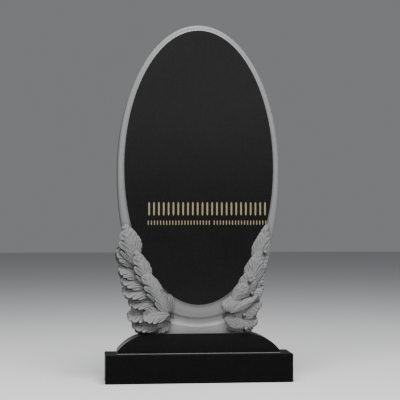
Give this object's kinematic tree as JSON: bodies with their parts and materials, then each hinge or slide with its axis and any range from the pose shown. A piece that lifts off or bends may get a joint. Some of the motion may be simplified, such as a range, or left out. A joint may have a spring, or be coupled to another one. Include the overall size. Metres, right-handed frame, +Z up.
{
  "type": "headstone",
  "caption": "Granite headstone: an upright oval with a polished face, an oak branch carved on the left and a branch with berries on the right, and a round-shouldered foot on a low polished plinth.",
  "frame": {"origin": "middle of the plinth's underside", "axes": "+Z up, +X to the viewer's right, the polished face looks along -Y"},
  "size_m": [0.69, 0.15, 1.315],
  "materials": {
    "carved_granite": "black granite, carved and left matt grey, with polished black faces",
    "polished_granite": "black granite, polished"
  },
  "bodies": {
    "root": {"stele": "carved_granite", "plinth": "polished_granite"}
  },
  "joints": []
}
